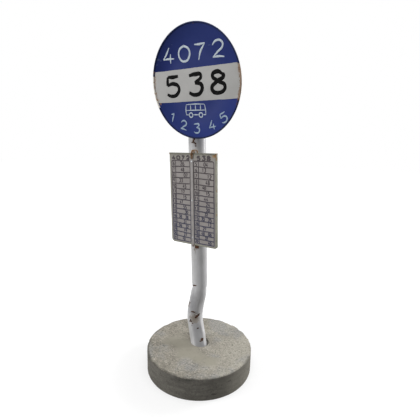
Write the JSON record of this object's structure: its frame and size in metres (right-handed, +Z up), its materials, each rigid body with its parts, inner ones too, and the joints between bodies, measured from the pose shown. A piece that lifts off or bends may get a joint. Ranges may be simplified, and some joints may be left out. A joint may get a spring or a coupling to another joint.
{
  "type": "bus stop flag",
  "caption": "Free-standing bus stop marker: a round sign and a timetable board strapped to a kinked steel tube that is cast into a round concrete base.",
  "frame": {"origin": "middle of the concrete base's underside, on the ground", "axes": "+Z up, +X to the right and -Y to the front as one faces the sign"},
  "size_m": [0.58, 0.58, 1.7931],
  "materials": {
    "concrete": "rough cast, worn",
    "tube_paint": "glossy, chipped",
    "blue_enamel": "satin enamel",
    "white_enamel": "satin enamel",
    "board_paint": "weathered paint",
    "sheet_paper": "faded",
    "ruled_ink": "matte ink",
    "zinc_steel": "dull zinc plate",
    "rusty_steel": "rusty"
  },
  "bodies": {
    "root": {"concrete_base": "concrete", "anchor_rods": "rusty_steel", "pole": "tube_paint", "pole_cap": "tube_paint", "sign_disc": "blue_enamel", "rim_wire": "rusty_steel", "white_band": "white_enamel", "disc_rail_upper": "tube_paint", "disc_rail_lower": "tube_paint", "disc_strap_upper": "zinc_steel", "disc_strap_lower": "zinc_steel", "disc_bolts": "zinc_steel", "disc_washers": "zinc_steel", "disc_nuts": "zinc_steel", "timetable_board": "board_paint", "drip_strip": "board_paint", "timetable_sheet_left": "sheet_paper", "timetable_sheet_right": "sheet_paper", "table_rules_left": "ruled_ink", "table_rules_right": "ruled_ink", "middle_batten": "board_paint", "batten_rivets": "zinc_steel", "board_rail_upper": "board_paint", "board_rail_lower": "board_paint", "board_strap_upper": "zinc_steel", "board_strap_lower": "zinc_steel", "board_bolts": "zinc_steel", "board_washers": "zinc_steel", "board_nuts": "zinc_steel", "wire_tie": "rusty_steel", "foot_bracket": "rusty_steel", "foot_bracket_bolt": "rusty_steel"}
  },
  "joints": []
}
